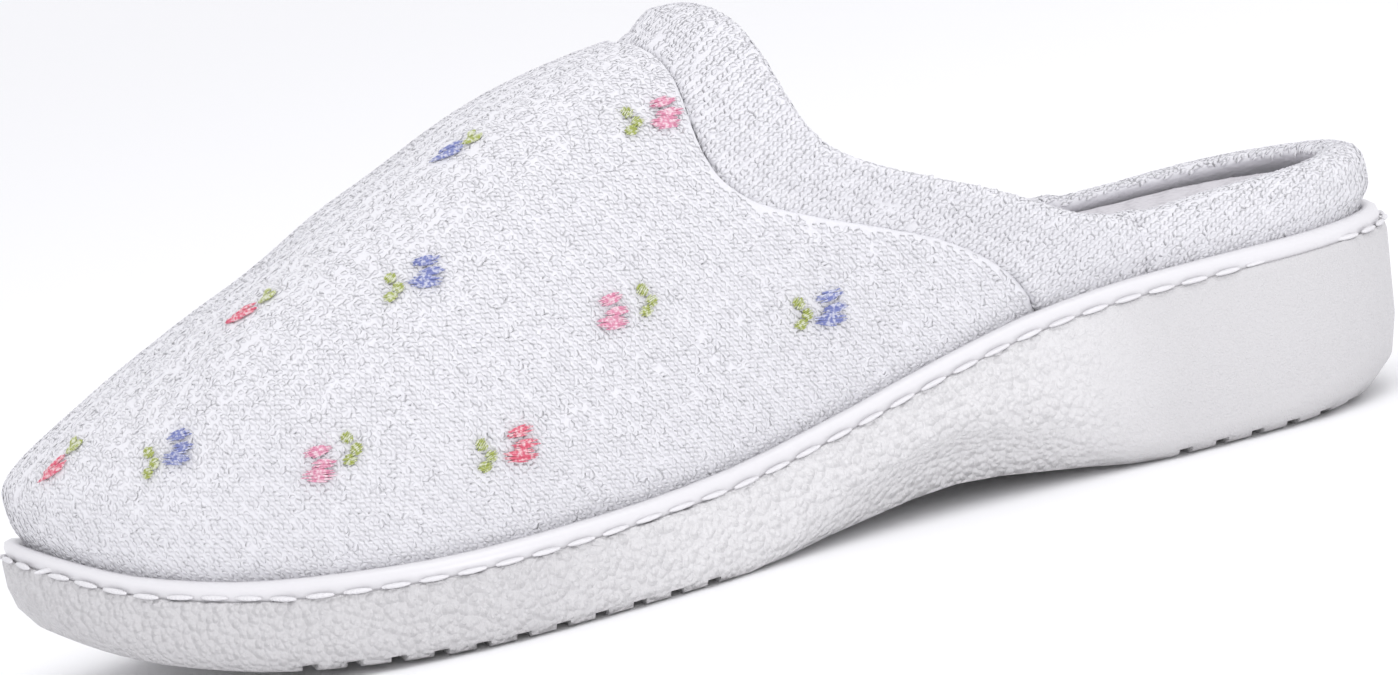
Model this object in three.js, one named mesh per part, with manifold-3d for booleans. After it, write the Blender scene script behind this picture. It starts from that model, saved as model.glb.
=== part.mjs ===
// House slipper for the left foot: a closed-toe mule in padded terry towelling on a moulded wedge sole.
// It stands on z = 0 with its toe to -Y, its heel to +Y and its outer (lateral) side to +X. All lengths
// are in millimetres. In the tables, "along" is the share of the sole's length from heel back to toe tip.

import * as THREE from 'three';
import { mergeVertices } from 'three/addons/utils/BufferGeometryUtils.js';
import Module from 'manifold-3d';

const wasm = await Module();
wasm.setup();

// Sizes of the last.
const soleLength = 264;
const ballWidth = 96;
const heelRound = 33; // length of the rounded heel end in plan
const toeRound = 60; // length of the rounded toe end in plan
const instepHeight = 95.5; // crest of the upper at the throat, above the floor
const toeCentre = 0.83; // share of the length where the toe's dome has its centre
const heelCentre = 0.16; // the same for the heel

// Sizes of the sole.
const heelHeight = 30.7; // top of the side wall at the heel
const forefootHeight = 14; // top of the side wall at the ball
const toeSpring = 15; // lift of the toe tip
const archRise = 4.5; // lift of the waist under the arch
const edgeRadius = 4; // rounding of the bottom edge along the sides
const heelRadius = 14; // rounding of the bottom edge at the heel back
const heelLean = 2; // how far the side wall leans out at the heel back
const scoopDepth = 9; // how far the hollow in the side of the waist goes in
const scoopHeight = 10.5; // how high that hollow starts above the bottom edge
const lipWidth = 0.9; // rounded upper edge of the side wall
const seatInset = 1.7; // edge of the recessed seat, where the stitches run
const seatDrop = 1.2; // depth of the seat below the lip
const channelWidth = 2.6; // tread channels across the sole
const channelDepth = 1.5;
const channelPitch = 7.2;
const forefootChannels = 11;
const heelChannels = 6;

// Sizes of the welt and of the padded upper.
const clearance = 0.3; // between pieces that touch
const weltThickness = 3.4;
const weltHeight = 4.6; // from the seat to the top of the welt
const weltInset = 1.1; // outermost face of the welt, in from the sole's edge
const upperWall = 3;
const bulgeInset = 3; // widest line of the upper, in from the sole's edge
const heelPuff = 1.5; // how much further out that line is at the heel back
const bulgeHeight = 11; // that line's height over the lip
const vampStep = 1.5; // how far the vamp's edge stands proud of the collar
const collarWidth = 18; // the cuff, from the vamp's edge to its own
const rollThickness = 7.3; // rolled edge of the collar
const heelBandHeight = 14.2; // rim of the heel band over the lip at its seams
const heelBandRise = 1.4; // how much higher it is at the heel back
const heelBandLean = 4; // how far its rim leans in
const seamAlong = 0.212; // seam between collar and heel band
const insoleHeel = 12; // thickness of the footbed under the heel
const insoleForefoot = 8; // and under the toes
const insoleRound = 3.5; // rounding of its upper edge
const insoleDish = 1.4; // hollow along its middle

// Sections of the last. centre and half are shares of the ball width, crest is the share of the instep
// height, and square is the power of the section's arch: 2 is an ellipse, 3 has steeper walls.
const lastRows = [
  { along: 0.00, centre: 0.010, half: 0.330, crest: 1.00, square: 3.0 },
  { along: 0.12, centre: 0.012, half: 0.334, crest: 1.00, square: 3.0 },
  { along: 0.24, centre: 0.020, half: 0.340, crest: 1.00, square: 3.0 },
  { along: 0.36, centre: 0.025, half: 0.345, crest: 1.00, square: 2.9 },
  { along: 0.48, centre: 0.013, half: 0.380, crest: 1.00, square: 2.5 },
  { along: 0.60, centre: 0.012, half: 0.455, crest: 0.955, square: 2.3 },
  { along: 0.72, centre: 0.000, half: 0.500, crest: 0.82, square: 2.2 },
  { along: 0.82, centre: -0.030, half: 0.470, crest: 0.68, square: 2.2 },
  { along: 0.92, centre: -0.080, half: 0.425, crest: 0.565, square: 2.2 },
  { along: 1.00, centre: -0.135, half: 0.400, crest: 0.49, square: 2.2 },
];

// Sections of the sole. wedge is the share of the rise from forefoot to heel height, arch and spring those
// of the arch's and the toe's lift, back and scoop say where the heel's rounding and the hollow are.
const soleRows = [
  { along: 0.00, wedge: 1.00, arch: 0.0, spring: 0.00, back: 1.0, scoop: 0.0 },
  { along: 0.06, wedge: 1.00, arch: 0.0, spring: 0.00, back: 0.6, scoop: 0.0 },
  { along: 0.14, wedge: 1.00, arch: 0.0, spring: 0.00, back: 0.1, scoop: 0.0 },
  { along: 0.22, wedge: 0.99, arch: 0.0, spring: 0.00, back: 0.0, scoop: 0.1 },
  { along: 0.29, wedge: 0.91, arch: 0.5, spring: 0.00, back: 0.0, scoop: 0.6 },
  { along: 0.37, wedge: 0.66, arch: 1.0, spring: 0.00, back: 0.0, scoop: 1.0 },
  { along: 0.46, wedge: 0.31, arch: 0.5, spring: 0.00, back: 0.0, scoop: 0.5 },
  { along: 0.54, wedge: 0.09, arch: 0.0, spring: 0.00, back: 0.0, scoop: 0.0 },
  { along: 0.62, wedge: 0.01, arch: 0.0, spring: 0.00, back: 0.0, scoop: 0.0 },
  { along: 0.70, wedge: -0.01, arch: 0.0, spring: 0.00, back: 0.0, scoop: 0.0 },
  { along: 0.84, wedge: -0.05, arch: 0.0, spring: 0.15, back: 0.0, scoop: 0.0 },
  { along: 0.92, wedge: -0.07, arch: 0.0, spring: 0.42, back: 0.1, scoop: 0.0 },
  { along: 1.00, wedge: -0.07, arch: 0.0, spring: 1.00, back: 0.3, scoop: 0.0 },
];

// The cut of the collar, from the welt to the crest. rise is the share of the section's girth, 0 at the
// widest line and 1 at the crest. edge is where the vamp ends at that rise, and top and topRise are the
// collar's rolled edge across from it.
const welted = -0.13; // the rise of the upper's lower edge, behind the welt
const weltTop = -0.083; // the rise at which the upper stands clear of the welt
const collarRows = [
  { rise: welted, edge: 0.289, top: 0.256, topRise: 0.080 },
  { rise: 0.010, edge: 0.308, top: 0.287, topRise: 0.140 },
  { rise: 0.144, edge: 0.355, top: 0.329, topRise: 0.218 },
  { rise: 0.250, edge: 0.420, top: 0.378, topRise: 0.308 },
  { rise: 0.323, edge: 0.467, top: 0.410, topRise: 0.370 },
  { rise: 0.391, edge: 0.488, top: 0.424, topRise: 0.440 },
  { rise: 0.512, edge: 0.498, top: 0.432, topRise: 0.550 },
  { rise: 0.700, edge: 0.497, top: 0.440, topRise: 0.740 },
  { rise: 1.000, edge: 0.520, top: 0.455, topRise: 1.000 },
];

// The upper's lower edge. height is the share of the way from the seat to the widest line, and tuck is
// the share of the way back from there to the place behind the welt.
const tuckRows = [
  { height: 0.00, tuck: 1.0 },
  { height: 1 - weltTop / welted, tuck: 1.0 },
  { height: 0.46, tuck: 0.5 },
  { height: 0.65, tuck: 0.1 },
  { height: 1.00, tuck: 0.0 },
];

// The band's cross-section, from the edge under the vamp, over the roll and back inside. across is the
// share of the band's width, and lift the share of the roll's thickness above the last. puff is added to
// the lift towards the crest.
const bandRows = [
  { across: 0.00, lift: 0.00, puff: 0.00 },
  { across: 0.24, lift: 0.00, puff: 0.22 },
  { across: 0.38, lift: 0.05, puff: 0.30 },
  { across: 0.53, lift: 0.11, puff: 0.28 },
  { across: 0.68, lift: 0.18, puff: 0.20 },
  { across: 0.84, lift: 0.23, puff: 0.10 },
  { across: 0.95, lift: 0.12, puff: 0.04 },
  { across: 1.00, lift: -0.12, puff: 0.00 },
  { across: 1.00, lift: -0.42, puff: 0.00 },
  { across: 0.94, lift: -0.66, puff: 0.00 },
  { across: 0.82, lift: -0.77, puff: 0.00 },
  { across: 0.68, lift: -0.66, puff: 0.00 },
  { across: 0.52, lift: -0.46, puff: 0.00 },
  { across: 0.38, lift: -0.41, puff: 0.00 },
  { across: 0.00, lift: -0.41, puff: 0.00 },
];

// Numbers of facets.
const stations = 96; // around the outline
const vampRows = 18;
const toeColumns = 14;
const heelColumns = 22;
const vampRises = [0.09, 0.18, 0.26, 0.34, 0.43, 0.53, 0.64, 0.76, 0.88, 1];

// A smooth curve through one column of a table that never overshoots its rows.
function curve(rows, key, column) {
  const x = rows.map((row) => row[key]);
  const y = rows.map((row) => row[column]);
  const slope = x.slice(1).map((value, i) => (y[i + 1] - y[i]) / (value - x[i]));
  const tangent = y.map((_, i) => {
    const before = slope[Math.max(i - 1, 0)];
    const after = slope[Math.min(i, slope.length - 1)];
    return before * after <= 0 ? 0 : (2 * before * after) / (before + after);
  });
  return (at) => {
    const value = THREE.MathUtils.clamp(at, x[0], x[x.length - 1]);
    let i = 0;
    while (i < x.length - 2 && value > x[i + 1]) i += 1;
    const span = x[i + 1] - x[i];
    const s = (value - x[i]) / span;
    const a = (1 + 2 * s) * (1 - s) ** 2 * y[i] + s * (1 - s) ** 2 * span * tangent[i];
    const b = s * s * (3 - 2 * s) * y[i + 1] + s * s * (s - 1) * span * tangent[i + 1];
    return a + b;
  };
}

const centreAt = curve(lastRows, 'along', 'centre');
const halfAt = curve(lastRows, 'along', 'half');
const crestShare = curve(lastRows, 'along', 'crest');
const squareAt = curve(lastRows, 'along', 'square');
const wedgeAt = curve(soleRows, 'along', 'wedge');
const archAt = curve(soleRows, 'along', 'arch');
const springAt = curve(soleRows, 'along', 'spring');
const backAt = curve(soleRows, 'along', 'back');
const scoopAt = curve(soleRows, 'along', 'scoop');
const edgeAt = curve(collarRows, 'rise', 'edge');
const topAt = curve(collarRows, 'rise', 'top');
const topRiseAt = curve(collarRows, 'rise', 'topRise');
const tuckAt = curve(tuckRows, 'height', 'tuck');

// Heights over the floor at a share of the length.
const lipHeight = (along) =>
  forefootHeight + (heelHeight - forefootHeight) * wedgeAt(along) + toeSpring * springAt(along);
const seatHeight = (along) => lipHeight(along) - seatDrop;
const bottomHeight = (along) => archRise * archAt(along) + toeSpring * springAt(along);
const crestHeight = (along) => instepHeight * crestShare(along);
const insoleThickness = (along) =>
  insoleForefoot + (insoleHeel - insoleForefoot) * wedgeAt(along);
const alongOf = (y) => 0.5 - y / soleLength;
const yOf = (along) => (0.5 - along) * soleLength;

// A point of the sole's outline. The angle runs from 0 at the heel back by the outer side to PI at the toe
// tip, and on by the inner side to 2 PI.
function outlinePoint(angle) {
  const along = (1 - Math.cos(angle)) / 2;
  const fromHeel = Math.min(along * soleLength / heelRound, 1);
  const fromToe = Math.min((1 - along) * soleLength / toeRound, 1);
  const round = Math.sqrt((1 - (1 - fromHeel) ** 2) * (1 - (1 - fromToe) ** 2));
  const side = Math.sin(angle) >= 0 ? 1 : -1;
  return new THREE.Vector2((centreAt(along) + side * halfAt(along) * round) * ballWidth, yOf(along));
}

// The outline moved in by a distance.
function insetPoint(angle, inset) {
  const step = 0.01;
  const tangent = outlinePoint(angle + step).sub(outlinePoint(angle - step)).normalize();
  const inward = new THREE.Vector2(tangent.y, -tangent.x);
  return outlinePoint(angle).addScaledVector(inward, inset);
}

const angleAt = (along, side) => (side > 0 ? 1 : -1) * Math.acos(1 - 2 * along);

// The surface of the padded upper at a place of the outline, a rise up its section and a depth into it.
const weltedInset = weltInset + weltThickness + clearance;
const seatRise = seatDrop - clearance;
function upperPoint(angle, rise, depth) {
  const bulge = bulgeInset - heelPuff * backAt((1 - Math.cos(angle)) / 2);
  if (rise <= 0) {
    const height = 1 - rise / welted;
    const inset = bulge + (weltedInset - bulge) * tuckAt(height);
    const low = insetPoint(angle, inset + depth);
    const lift = -seatRise + (bulgeHeight + seatRise) * height;
    return new THREE.Vector3(low.x, low.y, lipHeight(alongOf(low.y)) + lift);
  }
  const wide = insetPoint(angle, bulge + depth);
  const along = THREE.MathUtils.clamp((1 - Math.cos(angle)) / 2, heelCentre, toeCentre);
  const spine = new THREE.Vector2(centreAt(along) * ballWidth, yOf(along));
  const up = Math.sin(rise * Math.PI / 2);
  const square = squareAt((1 - Math.cos(angle)) / 2);
  const out = (1 - up ** square) ** (1 / square);
  const plan = spine.clone().lerp(wide, out);
  const base = lipHeight(alongOf(wide.y)) + bulgeHeight;
  const crest = crestHeight(alongOf(plan.y)) - depth * 1.1;
  return new THREE.Vector3(plan.x, plan.y, base + (crest - base) * up);
}

// Collects the faces of one closed body.
class Shell {
  constructor() {
    this.corners = [];
  }

  triangle(a, b, c) {
    this.corners.push(...a.toArray(), ...b.toArray(), ...c.toArray());
  }

  // A grid of points, each row a list, with its face towards the viewer who sees the rows run up and the
  // points of a row run to the right. Each square is split along its shorter diagonal, or all one way.
  grid(rows, { closed = false, flip = false, oneWay = false } = {}) {
    for (let r = 0; r + 1 < rows.length; r += 1) {
      const last = closed ? rows[r].length : rows[r].length - 1;
      for (let c = 0; c < last; c += 1) {
        const d = (c + 1) % rows[r].length;
        const quad = [rows[r][c], rows[r][d], rows[r + 1][d], rows[r + 1][c]];
        if (flip) quad.reverse();
        const shorter = quad[0].distanceTo(quad[2]) <= quad[1].distanceTo(quad[3]) + 1e-6;
        const [a, b, e, f] = shorter || oneWay ? quad : [...quad.slice(1), quad[0]];
        this.triangle(a, b, e);
        this.triangle(a, e, f);
      }
    }
    return this;
  }

  // Closes a ring of points that starts at the heel back and goes round the outline, with rows of points
  // from the outer to the inner side at the heights that the function gives.
  cap(ring, height, steps, flip) {
    const rows = [];
    for (let i = 0; i <= ring.length / 2; i += 1) {
      const outer = ring[i];
      const inner = ring[(ring.length - i) % ring.length];
      const row = [];
      for (let s = 0; s <= steps; s += 1) {
        const point = outer.clone().lerp(inner, s / steps);
        if (s > 0 && s < steps) point.z = height(point, s / steps);
        row.push(point);
      }
      rows.push(row);
    }
    return this.grid(rows, { flip, oneWay: true });
  }

  geometry() {
    const loose = new THREE.BufferGeometry();
    loose.setAttribute('position', new THREE.Float32BufferAttribute(this.corners, 3));
    const merged = mergeVertices(loose, 1e-3);
    const index = merged.index.array;
    const kept = [];
    for (let i = 0; i < index.length; i += 3) {
      const [a, b, c] = [index[i], index[i + 1], index[i + 2]];
      if (a !== b && b !== c && c !== a) kept.push(a, b, c);
    }
    merged.setIndex(kept);
    return merged;
  }
}

const ring = (point) =>
  Array.from({ length: stations }, (_, i) => point((2 * Math.PI * i) / stations));
const ringAt = (inset, height) => ring((angle) => {
  const plan = insetPoint(angle, inset);
  return new THREE.Vector3(plan.x, plan.y, height(alongOf(plan.y)));
});

// The moulded sole: seat, stitch groove, lip, side wall, rounded or hollowed bottom edge, and the bottom.
function outsoleBody() {
  const lip = (inset, drop) => ringAt(inset, (along) => lipHeight(along) - drop);
  const rings = [
    lip(seatInset + 1, seatDrop),
    lip(seatInset, seatDrop),
    lip(lipWidth + 0.4, 0.3),
    lip(lipWidth, 0),
    lip(lipWidth / 2, 0.4),
    lip(0.2, 1.6),
  ];
  const edge = (angle, turn) => {
    const along = (1 - Math.cos(angle)) / 2;
    const back = backAt(along);
    const scoop = scoopAt(along);
    const depth = edgeRadius + (heelRadius - edgeRadius) * back + (scoopDepth - edgeRadius) * scoop;
    const height = edgeRadius + (heelRadius - edgeRadius) * back + (scoopHeight - edgeRadius) * scoop;
    const swing = turn * Math.PI / 2;
    const round = { in: 1 - Math.cos(swing), down: Math.sin(swing) };
    const hollow = { in: Math.sin(swing), down: 1 - Math.cos(swing) };
    const mix = 0.7 * scoop;
    const lean = heelLean * back * back;
    const plan = insetPoint(angle, lean + depth * THREE.MathUtils.lerp(round.in, hollow.in, mix));
    const low = bottomHeight(alongOf(plan.y));
    const drop = THREE.MathUtils.lerp(round.down, hollow.down, mix);
    return new THREE.Vector3(plan.x, plan.y, low + height * (1 - drop));
  };
  const upper = rings[rings.length - 1];
  const lower = ring((angle) => edge(angle, 0));
  rings.push(upper.map((point, i) => point.clone().lerp(lower[i], 0.5)));
  rings.push(lower, ...[1 / 3, 2 / 3, 1].map((turn) => ring((angle) => edge(angle, turn))));
  const shell = new Shell();
  shell.grid(rings, { closed: true });
  shell.cap(rings[0], (point) => seatHeight(alongOf(point.y)), 4, false);
  shell.cap(rings[rings.length - 1], (point) => bottomHeight(alongOf(point.y)), 4, true);
  return shell.geometry();
}

function toSolid(geometry) {
  return new wasm.Manifold(new wasm.Mesh({
    numProp: 3,
    vertProperties: new Float32Array(geometry.attributes.position.array),
    triVerts: new Uint32Array(geometry.index.array),
  }));
}

function toGeometry(solid) {
  const mesh = solid.getMesh();
  const geometry = new THREE.BufferGeometry();
  geometry.setAttribute('position', new THREE.BufferAttribute(new Float32Array(mesh.vertProperties), 3));
  geometry.setIndex(new THREE.BufferAttribute(new Uint32Array(mesh.triVerts), 1));
  return geometry;
}

// Channels across the bottom leave the lugs of the tread.
function outsoleGeometry() {
  let solid = toSolid(outsoleBody());
  const groups = [
    { middle: 0.70, count: forefootChannels },
    { middle: 0.145, count: heelChannels },
  ];
  for (const group of groups) {
    for (let i = 0; i < group.count; i += 1) {
      const along = group.middle + (i - (group.count - 1) / 2) * channelPitch / soleLength;
      const top = bottomHeight(along) + channelDepth;
      const channel = new THREE.BoxGeometry(2 * ballWidth, channelWidth, top + 10);
      channel.translate(0, yOf(along), top - (top + 10) / 2);
      channel.deleteAttribute('normal');
      channel.deleteAttribute('uv');
      solid = solid.subtract(toSolid(mergeVertices(channel)));
    }
  }
  return toGeometry(solid);
}

// The welt: a rounded strip on the seat, all round the foot of the upper.
function weltGeometry() {
  const back = weltInset + weltThickness;
  const foot = -seatDrop + clearance;
  const section = [
    [weltInset + 0.8, 0],
    [weltInset + 0.2, 0.28],
    [weltInset, 0.55],
    [weltInset + 0.35, 0.82],
    [weltInset + 1.3, 0.98],
    [back - 1.1, 1],
    [back, 0.8],
    [back, 0],
  ];
  const rings = section.map(([inset, share]) =>
    ringAt(inset, (along) => lipHeight(along) + foot + (weltHeight - clearance) * share));
  rings.push(rings[0]);
  return new Shell().grid(rings, { closed: true, flip: true }).geometry();
}

// The padded footbed, with rounded upper edges and a shallow dish.
function insoleGeometry() {
  const inset = weltedInset + upperWall + 2 * clearance;
  const level = (step, drop) => ringAt(inset + step, (along) =>
    seatHeight(along) + clearance + Math.max(insoleThickness(along) - drop, 0));
  const rings = [
    level(0, 100),
    level(0, insoleRound),
    level(insoleRound * 0.3, insoleRound * 0.3),
    level(insoleRound, 0),
  ];
  const top = rings[rings.length - 1];
  const shell = new Shell();
  shell.grid(rings, { closed: true, flip: true });
  shell.cap(rings[0], (point) => seatHeight(alongOf(point.y)) + clearance, 2, true);
  shell.cap(top, (point, share) => {
    const along = alongOf(point.y);
    const dish = insoleDish * Math.sin(share * Math.PI);
    return seatHeight(along) + clearance + insoleThickness(along) - dish;
  }, 6, false);
  return shell.geometry();
}

// The vamp: one hollow shell from the collar to the toe, open underneath and at the throat.
const lowRises = tuckRows.map((row) => welted * (1 - row.height));
const columnRises = [...lowRises, ...vampRises];
function vampGeometry() {
  const arch = (row, depth) => {
    const reach = (rise) => THREE.MathUtils.lerp(edgeAt(rise), toeCentre, row / vampRows);
    const half = (side) => columnRises.map((rise) => upperPoint(angleAt(reach(rise), side), rise, depth));
    return [...half(1), ...half(-1).reverse().slice(1)];
  };
  const toe = (column, depth) => {
    const start = angleAt(toeCentre, 1);
    const angle = start + (2 * Math.PI - 2 * start) * (column / toeColumns);
    return columnRises.map((rise) => upperPoint(angle, rise, depth));
  };
  const count = (length) => Array.from({ length }, (_, i) => i);
  const body = [0, upperWall].map((depth) => count(vampRows + 1).map((row) => arch(row, depth)));
  const cap = [0, upperWall].map((depth) => count(toeColumns + 1).map((column) => toe(column, depth)));
  const shell = new Shell();
  shell.grid(body[0]).grid(body[1], { flip: true });
  shell.grid(cap[0]).grid(cap[1], { flip: true });
  shell.grid([body[0][0], body[1][0]], { flip: true });
  const first = (rows) => rows.map((row) => row[0]);
  const final = (rows) => rows.map((row) => row[row.length - 1]);
  shell.grid([first(body[0]), first(body[1])]);
  shell.grid([final(body[0]), final(body[1])], { flip: true });
  shell.grid([first(cap[0]), first(cap[1])]);
  return shell.geometry();
}

// One cross-section of a band, from a foot behind the welt to a lower and an upper place on the last.
// step lowers its lower edge under the vamp's, and lean moves its upper edge in.
function bandSection(side, foot, low, high, { step = 0, lean = 0 }) {
  const start = low.rise > weltTop ? clearance / collarWidth : 0;
  const point = (along, rise, depth) => upperPoint(angleAt(along, side), rise, depth);
  const wall = -bandRows[bandRows.length - 1].lift * rollThickness;
  const middle = bandRows.map((row) => {
    const share = start + (1 - start) * row.across;
    const along = THREE.MathUtils.lerp(low.along, high.along, share);
    const rise = THREE.MathUtils.lerp(low.rise, high.rise, share);
    const crown = Math.max(low.rise, 0);
    const sink = row.lift > -0.3 ? step * Math.max(1 - row.across / 0.3, 0) : 0;
    const lift = (row.lift + row.puff * crown) * rollThickness;
    return point(along, rise, sink - lift + lean * share ** 2);
  });
  if (foot === low) return [middle[0], ...middle, middle[middle.length - 1]];
  return [point(foot.along, foot.rise, 0), ...middle, point(foot.along, foot.rise, wall)];
}

function bandGeometry(sections) {
  const shell = new Shell();
  shell.grid(sections, { closed: true });
  const half = (bandRows.length + 1) / 2;
  for (const [section, flip] of [[sections[0], true], [sections[sections.length - 1], false]]) {
    const outer = section.slice(0, half + 1);
    const inner = section.slice(half).reverse();
    shell.grid([outer, inner], { flip });
  }
  return shell.geometry();
}

// The rise at which the heel band's rim lies, at a share of the length.
function rimRise(along) {
  const base = lipHeight(along) + bulgeHeight;
  const height = heelBandHeight + heelBandRise * (1 - along / seamAlong);
  const share = (height - bulgeHeight) / (crestHeight(along) - base);
  return Math.asin(share) / (Math.PI / 2);
}

// The collar: a cuff round the throat with a rolled upper edge, down to the welt on both sides.
function collarGeometry() {
  const play = 2 * clearance / soleLength;
  const seam = { along: seamAlong, rise: rimRise(seamAlong) };
  const side = (sign) => {
    const sections = [];
    for (const share of [0, 0.5, 1]) {
      const mix = (from, to) => THREE.MathUtils.lerp(from, to, share);
      const foot = { along: mix(seamAlong, edgeAt(welted) - play), rise: welted };
      const low = { along: mix(seamAlong, edgeAt(weltTop) - play), rise: weltTop };
      const high = { along: mix(seam.along, topAt(welted)), rise: mix(seam.rise, topRiseAt(welted)) };
      sections.push(bandSection(sign, foot, low, high, { lean: heelBandLean * (1 - share) }));
      if (share === 1) sections.push(bandSection(sign, low, low, high, {}));
    }
    for (const rise of columnRises.filter((value) => value > weltTop + 1e-6)) {
      const low = { along: edgeAt(rise) - play, rise };
      const high = { along: topAt(rise), rise: topRiseAt(rise) };
      const step = vampStep * THREE.MathUtils.smoothstep(rise, weltTop, 0.08);
      sections.push(bandSection(sign, low, low, high, { step }));
    }
    return sections;
  };
  return bandGeometry([...side(1), ...side(-1).reverse().slice(1)]);
}

// The heel band: a low padded rim from seam to seam round the heel.
function heelBandGeometry() {
  const start = seamAlong - clearance / soleLength;
  const sections = [];
  const turn = angleAt(start, 1);
  for (let i = 0; i <= heelColumns; i += 1) {
    const angle = turn * (2 * i / heelColumns - 1);
    const along = (1 - Math.cos(angle)) / 2;
    const foot = { along, rise: welted };
    const low = { along, rise: weltTop };
    const high = { along, rise: rimRise(along) };
    sections.push(bandSection(angle < 0 ? -1 : 1, foot, low, high, { lean: heelBandLean }));
  }
  return bandGeometry(sections);
}

const terry = { color: 0xeeeef2, roughness: 0.95, metalness: 0 };
const moulded = { color: 0xe9e8ea, roughness: 0.5, metalness: 0 };
const pieces = [
  { name: 'outsole', geometry: outsoleGeometry(), finish: moulded },
  { name: 'welt', geometry: weltGeometry(), finish: { ...moulded, roughness: 0.35 } },
  { name: 'insole', geometry: insoleGeometry(), finish: terry },
  { name: 'vamp', geometry: vampGeometry(), finish: terry },
  { name: 'collar_band', geometry: collarGeometry(), finish: terry },
  { name: 'heel_band', geometry: heelBandGeometry(), finish: terry },
];

const slipper = new THREE.Group();
for (const piece of pieces) {
  const mesh = new THREE.Mesh(piece.geometry, new THREE.MeshStandardMaterial(piece.finish));
  mesh.name = piece.name;
  slipper.add(mesh);
}
const middle = new THREE.Box3().setFromObject(slipper).getCenter(new THREE.Vector3());
slipper.position.set(-middle.x, -middle.y, 0);

export default slipper;
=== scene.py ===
# A house slipper for the left foot: white terry upper with embroidered rosebuds on a moulded wedge sole.
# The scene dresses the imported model, in metres: toe to -Y, heel to +Y, outer side to +X, floor at z = 0.
import random
from math import cos, exp, pi, radians, sin

import bmesh
import bpy
import numpy as np
from mathutils import Matrix, Vector, noise
from mathutils.bvhtree import BVHTree


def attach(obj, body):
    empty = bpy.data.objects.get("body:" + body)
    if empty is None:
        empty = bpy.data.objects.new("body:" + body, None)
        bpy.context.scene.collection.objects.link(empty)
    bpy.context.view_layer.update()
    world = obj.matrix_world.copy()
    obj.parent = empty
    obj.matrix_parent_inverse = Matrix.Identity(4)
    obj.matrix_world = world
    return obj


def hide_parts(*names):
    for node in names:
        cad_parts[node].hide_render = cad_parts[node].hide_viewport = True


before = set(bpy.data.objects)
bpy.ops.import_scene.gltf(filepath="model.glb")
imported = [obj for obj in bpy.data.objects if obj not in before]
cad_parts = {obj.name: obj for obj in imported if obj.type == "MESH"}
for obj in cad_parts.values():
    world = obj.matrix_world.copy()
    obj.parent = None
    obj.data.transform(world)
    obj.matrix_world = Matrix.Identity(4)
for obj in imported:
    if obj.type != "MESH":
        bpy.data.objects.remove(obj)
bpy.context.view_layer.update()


# Camera
# It looks at the outer side from a little towards the toe and above, and is rolled so that the slipper
# climbs to the heel side as in the photograph. The lens is long.
photo_width, photo_height = 1398, 675
azimuth, elevation, roll = radians(76.69), radians(7.162), radians(-12.049)
distance = 0.901
target = Vector((0.004575, -0.001752, 0.038505))
back = Vector((sin(azimuth) * cos(elevation), -cos(azimuth) * cos(elevation), sin(elevation)))
camera_data = bpy.data.cameras.new("camera")
camera_data.lens = 127.836
camera_data.sensor_width = 36
camera_data.clip_start, camera_data.clip_end = 0.05, 20
camera = bpy.data.objects.new("camera", camera_data)
bpy.context.scene.collection.objects.link(camera)
turn = back.to_track_quat("Z", "Y").to_matrix() @ Matrix.Rotation(roll, 3, "Z")
camera.matrix_world = Matrix.Translation(target + back * distance) @ turn.to_4x4()
bpy.context.scene.camera = camera


def sight(px, py):
    """The direction from the camera through a pixel of the photograph."""
    scale = camera_data.sensor_width / camera_data.lens / photo_width
    away = Vector(((px - photo_width / 2) * scale, (photo_height / 2 - py) * scale, -1))
    return (turn @ away).normalized()


# Floor and light
# A plain white floor and soft studio light: a wide panel above the outer side, a second one low beside
# the camera, and an even white surround.
floor_tone = (0.95, 0.95, 0.955, 1)
floor_mesh = bpy.data.meshes.new("floor")
floor_form = bmesh.new()
bmesh.ops.create_circle(floor_form, cap_ends=True, segments=64, radius=6)
floor_form.to_mesh(floor_mesh)
floor_form.free()
floor = bpy.data.objects.new("floor", floor_mesh)
bpy.context.scene.collection.objects.link(floor)
floor_paint = bpy.data.materials.new("floor_paint")
floor_paint.use_nodes = True
floor_paint.node_tree.nodes["Principled BSDF"].inputs["Base Color"].default_value = floor_tone
floor_paint.node_tree.nodes["Principled BSDF"].inputs["Roughness"].default_value = 0.9
floor_mesh.materials.append(floor_paint)

surround = bpy.data.worlds.new("surround")
surround.use_nodes = True
surround.node_tree.nodes["Background"].inputs["Color"].default_value = (0.97, 0.97, 1, 1)
surround.node_tree.nodes["Background"].inputs["Strength"].default_value = 1.0
bpy.context.scene.world = surround
bpy.context.scene.view_settings.view_transform = "Standard"

for name, place, size, power in (
    ("panel_above", (0.6, 0.1, 1.4), 1.2, 5),
    ("panel_front", (1.4, 0.0, 0.18), 0.8, 4.5),
):
    panel = bpy.data.lights.new(name, "AREA")
    panel.shape = "DISK"
    panel.size = size
    panel.energy = power
    lamp = bpy.data.objects.new(name, panel)
    bpy.context.scene.collection.objects.link(lamp)
    lamp.location = place
    lamp.rotation_euler = (Vector(place) - target).to_track_quat("Z", "Y").to_euler()


# Outsole
# One piece of white rubber, moulded with its wedge, the hollow under the arch and the tread. Its side is
# pebbled round the forefoot and in the hollow, and smooth at the heel.
sole_tone = (0.66, 0.65, 0.66)
pebble = 0.0013
grain = 0.0004
smooth_heel = (0.045, 0.075)  # where the pebbles fade out, towards the heel
painted_shade_toe = (-0.06, -0.01)  # where the painted shade on the forefoot ends
painted_shade_heel = (0.05, 0.09)  # and where the painted shade on the heel begins
# The rubber runs from sole_white to sole_grey where painted shade darkens it.
sole_grey = (0.60, 0.59, 0.60, 1)
sole_white = (0.75, 0.74, 0.75, 1)


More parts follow.
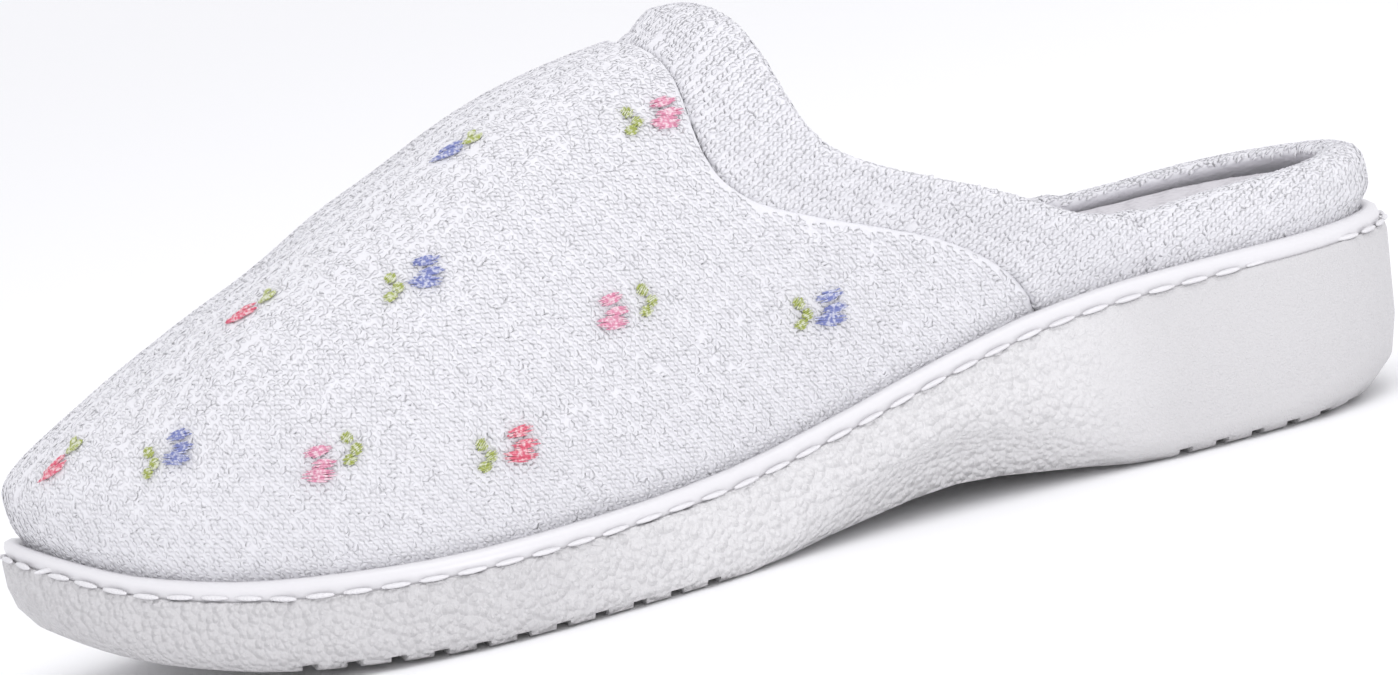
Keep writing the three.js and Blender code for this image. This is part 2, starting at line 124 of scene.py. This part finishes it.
class Socket:
    """An output of a shader node, with the sums that the finishes are written in."""

    def __init__(self, output):
        self.output = output

    def node(self, kind, settings, inputs, output=0):
        made = self.output.id_data.nodes.new(kind)
        for key, value in settings.items():
            setattr(made, key, value)
        for key, value in inputs.items():
            if isinstance(value, Socket):
                self.output.id_data.links.new(value.output, made.inputs[key])
            else:
                made.inputs[key].default_value = value
        return Socket(made.outputs[output])

    def math(self, operation, first, second):
        return self.node("ShaderNodeMath", {"operation": operation}, {0: first, 1: second})

    def __add__(self, other):
        return self.math("ADD", self, other)

    def __sub__(self, other):
        return self.math("SUBTRACT", self, other)

    def __rsub__(self, other):
        return self.math("SUBTRACT", other, self)

    def __mul__(self, other):
        return self.math("MULTIPLY", self, other)

    __radd__ = __add__
    __rmul__ = __mul__

    def step(self, low, high):
        """0 below low and 1 above high, with a soft change between."""
        settings = {"interpolation_type": "SMOOTHSTEP"}
        return self.node("ShaderNodeMapRange", settings, {0: self, 1: low, 2: high})

    def mix(self, first, second):
        """From one colour to the other, as this value goes from 0 to 1."""
        return self.node(
            "ShaderNodeMix", {"data_type": "RGBA"}, {0: self, 6: first, 7: second}, 2
        )

    def noise(self, size, detail=2):
        return self.node("ShaderNodeTexNoise", {}, {"Vector": self, "Scale": 1 / size, "Detail": detail})

    def cells(self, size):
        """The distance to the middle of the nearest of many cells of that size."""
        settings = {"feature": "SMOOTH_F1"}
        inputs = {"Vector": self, "Scale": 1 / size, "Smoothness": 0.35}
        return self.node("ShaderNodeTexVoronoi", settings, inputs)

    def axis(self, index):
        return self.node("ShaderNodeSeparateXYZ", {}, {0: self}, index)


def new_material(name, tone, roughness):
    """A material, its surface node and its Object coordinates."""
    material = bpy.data.materials.new(name)
    material.use_nodes = True
    surface = material.node_tree.nodes["Principled BSDF"]
    surface.inputs["Base Color"].default_value = (*tone, 1)
    surface.inputs["Roughness"].default_value = roughness
    place = Socket(material.node_tree.nodes.new("ShaderNodeTexCoord").outputs["Object"])
    return material, surface, place


def feed(surface, name, value):
    surface.id_data.links.new(value.output, surface.inputs[name])


def merged(node):
    """A bmesh copy of a CAD node, with its loose triangles joined."""
    form = bmesh.new()
    form.from_mesh(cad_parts[node].data)
    bmesh.ops.remove_doubles(form, verts=form.verts, dist=1e-5)
    return form


def new_piece(name, form, material, node=None):
    """An object at the origin from a bmesh, riding on the slipper."""
    mesh = bpy.data.meshes.new(name)
    form.to_mesh(mesh)
    form.free()
    mesh.materials.append(material)
    piece = bpy.data.objects.new(name, mesh)
    bpy.context.scene.collection.objects.link(piece)
    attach(piece, "root")
    if node:
        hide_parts(node)
    return piece


rubber, surface, place = new_material("moulded_rubber", sole_tone, 0.48)
pebbled = 1 - place.axis(1).step(*smooth_heel)
bumps = (1 - place.cells(pebble)) * pebbled + place.noise(grain) * 0.25
feed(surface, "Normal", place.node(
    "ShaderNodeBump", {}, {"Strength": 0.8, "Distance": 0.0012, "Height": bumps}))
# Painted shade: the rubber is darker at the forefoot and the heel, where less light falls on the side.
toe_heel_painted_shade = 1 - place.axis(1).step(*painted_shade_toe) * (1 - place.axis(1).step(*painted_shade_heel))
# Painted shade in the gaps between the pebbles, added to a random tone and the painted shade at toe and
# heel.
tone_and_painted_shade = place.noise(0.012) * 0.35 + (1 - place.cells(pebble)) * pebbled * 0.4 + 0.4 - toe_heel_painted_shade * 0.8
feed(surface, "Base Color", tone_and_painted_shade.mix(sole_grey, sole_white))

outsole = new_piece("outsole_moulded", merged("outsole"), rubber, "outsole")
outsole.data.shade_smooth()
outsole.data.set_sharp_from_angle(angle=radians(38))


# Welt
# A strip of smooth, slightly glossy rubber that holds the foot of the upper, stitched on the sole's ledge.
welt_tone = (0.72, 0.71, 0.73)
gloss, surface, place = new_material("welt_gloss", welt_tone, 0.3)
surface.inputs["Coat Weight"].default_value = 0.2
surface.inputs["Coat Roughness"].default_value = 0.25
feed(surface, "Normal", place.node(
    "ShaderNodeBump", {}, {"Strength": 0.25, "Distance": 0.0003, "Height": place.noise(0.0025)}))
welt = new_piece("welt_strip", merged("welt"), gloss, "welt")
welt.data.shade_smooth()
welt.data.set_sharp_from_angle(angle=radians(60))


# Stitches
# Lock stitches of white thread that hold welt and sole together, in the groove between the two. Each is
# a short, plump stretch of thread that dips into its hole at both ends.
stitch_pitch = 0.0066
stitch_length = 0.0054
thread = 0.00082
thread_tone = (0.75, 0.74, 0.76)
twists = 700.0  # turns of the thread, in the wave texture's scale
stitch_out = 0.0006  # how far the stitches stand out from the top of the lip
side_rays = 700  # looks at the groove round the slipper
lip_rises = (0.0005, 0.0015, 0.0025)  # heights above the lip at which a look meets the welt
lip_look = 0.0002  # one step of a look across the lip
ledge_drop = 0.0008  # a find this far below its neighbours lies on the ledge inside the lip
down = Vector((0, 0, -1))

cotton, surface, place = new_material("white_thread", thread_tone, 0.6)
twist = place.node("ShaderNodeTexWave", {}, {"Vector": place, "Scale": twists, "Distortion": 2.0})
feed(surface, "Normal", place.node(
    "ShaderNodeBump", {}, {"Strength": 0.5, "Distance": 0.0002, "Height": twist}))

lip = [v.co.copy() for v in outsole.data.vertices]
lip = [v for v in lip if v.z > max(w.z for w in lip if abs(w.y - v.y) < 0.0012) - 0.0001]
lip_line = list(zip(*sorted((v.y, v.z) for v in lip)))
welt_tree = BVHTree.FromObject(welt, bpy.context.evaluated_depsgraph_get())
sole_tree = BVHTree.FromObject(outsole, bpy.context.evaluated_depsgraph_get())


def lip_tops(middle, outward, height):
    """Points on top of the sole in front of the welt, met on the way out from the middle."""
    start = Vector((middle.x, middle.y, height)) + outward * 0.2
    hit = welt_tree.ray_cast(start, -outward)[0]
    if hit is None:
        return []
    looks = [hit + outward * lip_look * k - down * 0.02 for k in range(-3, 9)]
    tops = [sole_tree.ray_cast(look, down)[0] for look in looks]
    return [top for top in tops if top is not None]


groove = []
for i in range(side_rays):
    angle = 2 * pi * i / side_rays
    middle = Vector((0, 0.1 * cos(angle), 0))
    spread = 0.35 if abs(cos(angle)) < 0.8 else 1
    outward = Vector((sin(angle), spread * cos(angle), 0)).normalized()
    near = np.interp(middle.y + 0.03 * outward.y, *lip_line)
    tops = [top for rise in lip_rises for top in lip_tops(middle, outward, near + rise)]
    if tops:
        groove.append(max(tops, key=lambda top: top.z))

ring = np.array(groove + groove[:1])
highest = [ring[max(i - 3, 0):i + 4, 2].max() for i in range(len(ring))]
ring = ring[ring[:, 2] > np.array(highest) - ledge_drop][::2]
run = np.append(0, np.cumsum(np.linalg.norm(np.diff(ring, axis=0), axis=1)))
strand = bmesh.new()
for mark in np.arange(0, run[-1], stitch_pitch):
    spot = Vector([np.interp(mark, run, ring[:, k]) for k in range(3)])
    ahead = Vector([np.interp(mark + 0.001, run, ring[:, k]) for k in range(3)])
    along = (ahead - spot).normalized()
    outer = along.cross(down).normalized()
    if outer.dot(spot) < 0:
        outer = -outer
    made = bmesh.ops.create_uvsphere(strand, u_segments=10, v_segments=6, radius=1)
    basis = Matrix((outer, along.cross(outer), along)).transposed().to_4x4()
    shape = Matrix.Diagonal((thread * 0.75, thread * 0.6, stitch_length / 2, 1))
    centre = Matrix.Translation(spot + outer * stitch_out - down * thread * 0.45)
    bmesh.ops.transform(strand, matrix=centre @ basis @ shape, verts=made["verts"])
stitches = new_piece("lock_stitches", strand, cotton)
stitches.data.shade_smooth()


# Vamp
# Padded white terry over the toes and the instep, closed at the toe. Its upper edge is turned over and
# lies on the collar. The cloth swells a little between welt and edge, with soft dents from wear.
terry_tone = (0.74, 0.735, 0.765)
# The darker colour below is painted shade for the gaps between loops.
terry_gap_shade = (0.72, 0.715, 0.745)
row_pitch = 0.0012  # from one row of loops to the next
bead_pitch = 0.0011  # from one loop to the next in a row
loop_height, loop_width, loop_length = 0.18, 1.25, 1.25  # as shares of a loop's size
pile = 0.00015
clump = 0.0001
vamp_waves = 0.0006
vamp_slant = radians(-57)
hem = 0.0026  # the smooth edge beside the collar
creases = [
    {"from": (500, 465), "to": (610, 530), "reach": 6, "rise": -0.5},
    {"from": (405, 480), "to": (440, 552), "reach": 5, "rise": -0.4},
    {"from": (760, 262), "to": (915, 330), "reach": 7, "rise": 0.5},
    {"from": (850, 300), "to": (880, 372), "reach": 6, "rise": -0.5},
    {"from": (700, 190), "to": (735, 290), "reach": 7, "rise": -0.4},
    {"from": (290, 268), "to": (210, 420), "reach": 9, "rise": 0.4},
]


def new_terry(name, slant, tone=terry_tone, gap_shade=terry_gap_shade):
    """Terry towelling, with small loops in slanting rows and painted shade in the gaps between them."""
    material, surface, place = new_material(name, tone, 0.95)
    surface.inputs["Sheen Weight"].default_value = 0.25
    surface.inputs["Sheen Roughness"].default_value = 0.6
    loops = place.cells(bead_pitch)
    turned = place.node("ShaderNodeMapping", {}, {"Vector": place, "Rotation": (-slant, 0, 0)})
    rows = turned.node(
        "ShaderNodeTexWave", {"bands_direction": "Z"},
        {"Vector": turned, "Scale": 0.314 / row_pitch, "Distortion": 1.5, "Detail": 1.0})
    relief = (1 - loops) * 0.6 + rows * 0.2 + place.noise(0.0006) * 0.4
    feed(surface, "Normal", place.node(
        "ShaderNodeBump", {}, {"Strength": 0.24, "Distance": 0.0006, "Height": relief}))
    # Painted shade in the gaps between loops and rows, with a little random tone.
    shade = ((1 - loops) + rows * 0.3 + place.noise(0.02) * 0.4).step(0.15, 1.1)
    feed(surface, "Base Color", shade.mix((*gap_shade, 1), (*tone, 1)))
    return material


def soft_form(node, levels):
    """A rounded copy of a CAD solid, with its squares split levels times."""
    form = merged(node)
    bmesh.ops.join_triangles(form, faces=form.faces, angle_face_threshold=0.7, angle_shape_threshold=0.7)
    mesh = bpy.data.meshes.new(node + "_rough")
    form.to_mesh(mesh)
    form.free()
    rough = bpy.data.objects.new(node + "_rough", mesh)
    bpy.context.scene.collection.objects.link(rough)
    rounding = rough.modifiers.new("rounding", "SUBSURF")
    rounding.levels = rounding.render_levels = levels
    smooth = bpy.data.meshes.new_from_object(rough.evaluated_get(bpy.context.evaluated_depsgraph_get()))
    bpy.data.objects.remove(rough)
    form = bmesh.new()
    form.from_mesh(smooth)
    return form


def swell(form, pile, waves):
    """Moves the cloth out by its pile, with wide soft waves."""
    form.normal_update()
    for v in form.verts:
        v.co += v.normal * (pile + noise.noise(v.co * 45) * waves)
    form.normal_update()


def crease(form, tree, marks):
    """Presses soft troughs and ridges between pairs of pixels of the photograph into the cloth."""
    for mark in marks:
        ends = [tree.ray_cast(camera.location, sight(*mark[end]))[:2] for end in ("from", "to")]
        start, run = ends[0][0], ends[1][0] - ends[0][0]
        for v in form.verts:
            share = min(max((v.co - start).dot(run) / run.length_squared, 0), 1)
            off = (v.co - start - run * share).length * 1000 / mark["reach"]
            if off < 2.5 and v.normal.dot(ends[0][1]) > 0.3:
                v.co += v.normal * mark["rise"] / 1000 * exp(-off * off) * (1 - 0.5 * abs(2 * share - 1))
    form.normal_update()


def roughen(form, clump):
    """Small clumps of loops."""
    for v in form.verts:
        near = noise.noise(v.co * 900) + 0.6 * noise.noise(v.co * 1900)
        v.co += v.normal * near * clump


def sow_loops(name, source, material, slant, keep):
    """Small loops of yarn in slanting rows on a smooth form, where keep() says, all joined in one piece."""
    form = bmesh.new()
    bmesh.ops.create_cone(form, cap_ends=False, segments=3, radius1=0.45, radius2=0.45, depth=1)
    upright = [e for e in form.edges if abs(e.verts[0].co.z - e.verts[1].co.z) > 0.5]
    bmesh.ops.subdivide_edges(form, edges=upright, cuts=1)
    shape = np.array([v.co for v in form.verts])
    faces = np.array([[v.index for v in f.verts] for f in form.faces if len(f.verts) == 4])
    form.free()
    bend = np.cos(shape[:, 2] * pi)
    shape[:, :2] *= (0.35 + 0.65 * bend)[:, None]
    shape[:, 0] += bend * 0.55
    row, bead = Vector((0, cos(slant), sin(slant))), Vector((0, -sin(slant), cos(slant)))
    spots, normals, taken = [], [], set()
    for v in source.verts:
        lanes = v.co.dot(bead) / row_pitch, v.co.dot(row) / bead_pitch, v.co.x / row_pitch / 1.5
        key = tuple(round(lane) for lane in lanes)
        if key in taken or not keep(v):
            continue
        taken.add(key)
        snap = bead * (key[0] - lanes[0]) * row_pitch + row * (key[1] - lanes[1]) * bead_pitch
        spots.append(v.co + snap - v.normal * snap.dot(v.normal))
        normals.append(v.normal)
    spots, normals = np.array(spots), np.array(normals)
    seed = np.random.default_rng(11)
    lean = np.array(row) + seed.normal(0, 0.4, spots.shape)
    along = lean - normals * (lean * normals).sum(1)[:, None]
    along /= np.linalg.norm(along, axis=1)[:, None]
    across = np.cross(normals, along)
    size = bead_pitch * seed.uniform(0.8, 1.2, len(spots))
    spots = spots + across * (seed.uniform(-0.12, 0.12, len(spots)) * row_pitch)[:, None]
    shape *= loop_height, loop_width, loop_length
    points = spots[:, None]
    for k, direction in enumerate((normals, across, along)):
        points = points + direction[:, None] * shape[None, :, k, None] * size[:, None, None]
    points = points.reshape(-1, 3)
    every = (faces[None] + (np.arange(len(spots)) * len(shape))[:, None, None]).reshape(-1, 4)
    mesh = bpy.data.meshes.new(name)
    mesh.from_pydata(points.tolist(), [], every.tolist())
    mesh.materials.append(material)
    mesh.shade_smooth()
    piece = bpy.data.objects.new(name, mesh)
    bpy.context.scene.collection.objects.link(piece)
    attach(piece, "root")
    return piece


upper_terry = new_terry("upper_terry", vamp_slant)
vamp_form = soft_form("vamp", 3)
swell(vamp_form, pile, vamp_waves)
crease(vamp_form, BVHTree.FromBMesh(vamp_form), creases)
vamp_smooth = vamp_form.copy()
vamp_smooth.normal_update()
roughen(vamp_form, clump)
vamp = new_piece("vamp_terry", vamp_form, upper_terry, "vamp")
vamp.data.shade_smooth()
vamp_tree = BVHTree.FromBMesh(vamp_smooth)
collar_tree = BVHTree.FromBMesh(merged("collar_band"))


def outside(v):
    """True on the vamp's outer face, apart from the smooth hem beside the collar."""
    beside = collar_tree.find_nearest(v.co, hem)[3] is not None
    return not beside and vamp_tree.ray_cast(v.co + v.normal * 0.0004, v.normal, 0.2)[0] is None


sow_loops("vamp_loops_outer", vamp_smooth, upper_terry, vamp_slant, lambda v: v.co.x > 0 and outside(v))
sow_loops("vamp_loops_inner", vamp_smooth, upper_terry, vamp_slant, lambda v: v.co.x <= 0 and outside(v))


# Collar
# A terry cuff round the throat, rolled over a soft cord at its upper edge and sewn to the vamp under the
# vamp's own edge. Low at the sides, it runs down to the welt.
cuff_slant = radians(28)
cuff_reach = 0.0036  # how near another piece the cuff fills up towards it
cuff_fill = 0.0013
cuff_waves = 0.0004
cuff_terry = new_terry("cuff_terry", cuff_slant)


def open_side(v):
    """True on the outer and upper faces of a band."""
    return v.normal.z > 0.35 or v.normal.x * v.co.x + 0.4 * v.normal.y * v.co.y > 0


for node, other in (("collar_band", "heel_band"), ("heel_band", "collar_band")):
    form = soft_form(node, 3)
    beside = BVHTree.FromBMesh(merged(other))
    swell(form, pile, cuff_waves)
    for v in form.verts:
        near = min(tree.find_nearest(v.co, cuff_reach)[3] or cuff_reach for tree in (vamp_tree, beside))
        v.co += v.normal * cuff_fill * (1 - near / cuff_reach)
    even = form.copy()
    even.normal_update()
    roughen(form, clump)
    band = new_piece(node + "_terry", form, cuff_terry, node)
    band.data.shade_smooth()
    sow_loops(node + "_loops", even, cuff_terry, cuff_slant, open_side)
    even.free()


# Footbed
# A thick foam pad covered in the same terry, pressed in between the bands on the sole's seat.
# The footbed's terry is painted darker than the upper's, in tone and gaps alike: painted shade inside the
# slipper.
bed_shaded_tone = (0.60, 0.58, 0.61)
bed_gap_shade = (0.44, 0.42, 0.45)
bed_slant = radians(10)
bed_waves = 0.0005
bed_clump = 0.0002
bed_terry = new_terry("footbed_cloth", bed_slant, bed_shaded_tone, bed_gap_shade)
form = soft_form("insole", 2)
swell(form, 0, bed_waves)
roughen(form, bed_clump)
footbed = new_piece("footbed_terry", form, bed_terry, "insole")
footbed.data.shade_smooth()


# Rosebuds
# Raised embroidery on the vamp: each bud is three petals of parallel silk stitches, in pink, red or blue,
# with three small green leaves beside it. A sprig lies about every 35 mm, flatter on the far slope.
silk = 0.00034
far_turn = 50  # degrees that the threads of a quite flat sprig would turn
silks = {
    "pink": (0.66, 0.24, 0.37),
    "red": (0.66, 0.10, 0.17),
    "blue": (0.17, 0.20, 0.46),
    "leaf": (0.33, 0.38, 0.07),
}
buds = [
    {"silk": "pink", "x": 665, "y": 113, "leaf_x": 633, "leaf_y": 122},
    {"silk": "blue", "x": 830, "y": 307, "leaf_x": 803, "leaf_y": 313},
    {"silk": "pink", "x": 612, "y": 311, "leaf_x": 647, "leaf_y": 300},
    {"silk": "blue", "x": 427, "y": 272, "leaf_x": 395, "leaf_y": 288},
    {"silk": "pink", "x": 320, "y": 463, "leaf_x": 353, "leaf_y": 448},
    {"silk": "red", "x": 521, "y": 443, "leaf_x": 487, "leaf_y": 455},
    {"silk": "blue", "x": 180, "y": 447, "leaf_x": 153, "leaf_y": 463},
    {"silk": "blue", "x": 450, "y": 153, "leaf_x": 475, "leaf_y": 139, "flat": 0.5},
    {"silk": "red", "x": 244, "y": 315, "leaf_x": 270, "leaf_y": 297, "flat": 0.4},
    {"silk": "red", "x": 55, "y": 470, "leaf_x": 77, "leaf_y": 446, "flat": 0.4},
]
petals = [
    {"up": 2.0, "side": -0.3, "wide": 5.8, "tall": 1.7, "threads": 7, "tilt": 16},
    {"up": -0.1, "side": 0.8, "wide": 5.4, "tall": 1.5, "threads": 6, "tilt": 10},
    {"up": -2.1, "side": -0.1, "wide": 6.8, "tall": 2.3, "threads": 9, "tilt": 4},
]
leaves = [
    {"up": 1.7, "side": -1.0, "wide": 2.6, "tall": 2.2, "threads": 6, "tilt": 60},
    {"up": -0.2, "side": 0.7, "wide": 2.8, "tall": 2.0, "threads": 6, "tilt": 35},
    {"up": -2.0, "side": -0.4, "wide": 3.0, "tall": 1.8, "threads": 6, "tilt": 20},
]


def sew(form, spot, up, right, flat, patch, choose):
    """Adds the parallel threads of one petal or leaf, on the far slope flattened and more tilted."""
    for i in range(patch["threads"]):
        share = (i + 0.5) / patch["threads"] * 2 - 1
        length = patch["wide"] * (1 - share * share) ** 0.5 * choose.uniform(0.8, 1.05) / 1000
        tilt = radians(patch["tilt"] + choose.uniform(-7, 7) + far_turn * (1 - flat))
        along = right * cos(tilt) + up * sin(tilt)
        across = up * cos(tilt) - right * sin(tilt)
        middle = spot + up * flat * patch["up"] / 1000 + right * patch["side"] / 1000
        middle = middle + across * share * flat * patch["tall"] / 2000
        middle, facing = vamp_tree.find_nearest(middle)[:2]
        middle = middle + facing * (silk * choose.uniform(1.2, 1.9))
        made = bmesh.ops.create_uvsphere(form, u_segments=6, v_segments=6, radius=1)
        basis = Matrix((facing, along.cross(facing).normalized(), along)).transposed().to_4x4()
        size = Matrix.Diagonal((silk * 1.1, silk * 0.62, max(length, 0.001) / 2, 1))
        bmesh.ops.transform(form, matrix=Matrix.Translation(middle) @ basis @ size, verts=made["verts"])


choose = random.Random(5)
forms = {name: bmesh.new() for name in silks}
for bud in buds:
    for kind, px, py, patches in (
        (bud["silk"], bud["x"], bud["y"], petals),
        ("leaf", bud["leaf_x"], bud["leaf_y"], leaves),
    ):
        spot, normal = vamp_tree.ray_cast(camera.location, sight(px, py))[:2]
        picture_up = turn @ Vector((0, 1, 0))
        up = (picture_up - normal * normal.dot(picture_up)).normalized()
        right = up.cross(normal)
        for patch in patches:
            sew(forms[kind], spot, up, right, bud.get("flat", 1), patch, choose)
for name, form in forms.items():
    material, surface, place = new_material("silk_" + name, silks[name], 0.45)
    surface.inputs["Sheen Weight"].default_value = 0.3
    # Painted highlight: lighter streaks along the silk threads.
    highlight_streak = place.noise(0.0006).step(0.4, 0.65)
    light = tuple(0.45 * c + 0.5 for c in silks[name])
    feed(surface, "Base Color", highlight_streak.mix((*silks[name], 1), (*light, 1)))
    sprig = new_piece("embroidery_" + name, form, material)
    sprig.data.shade_smooth()
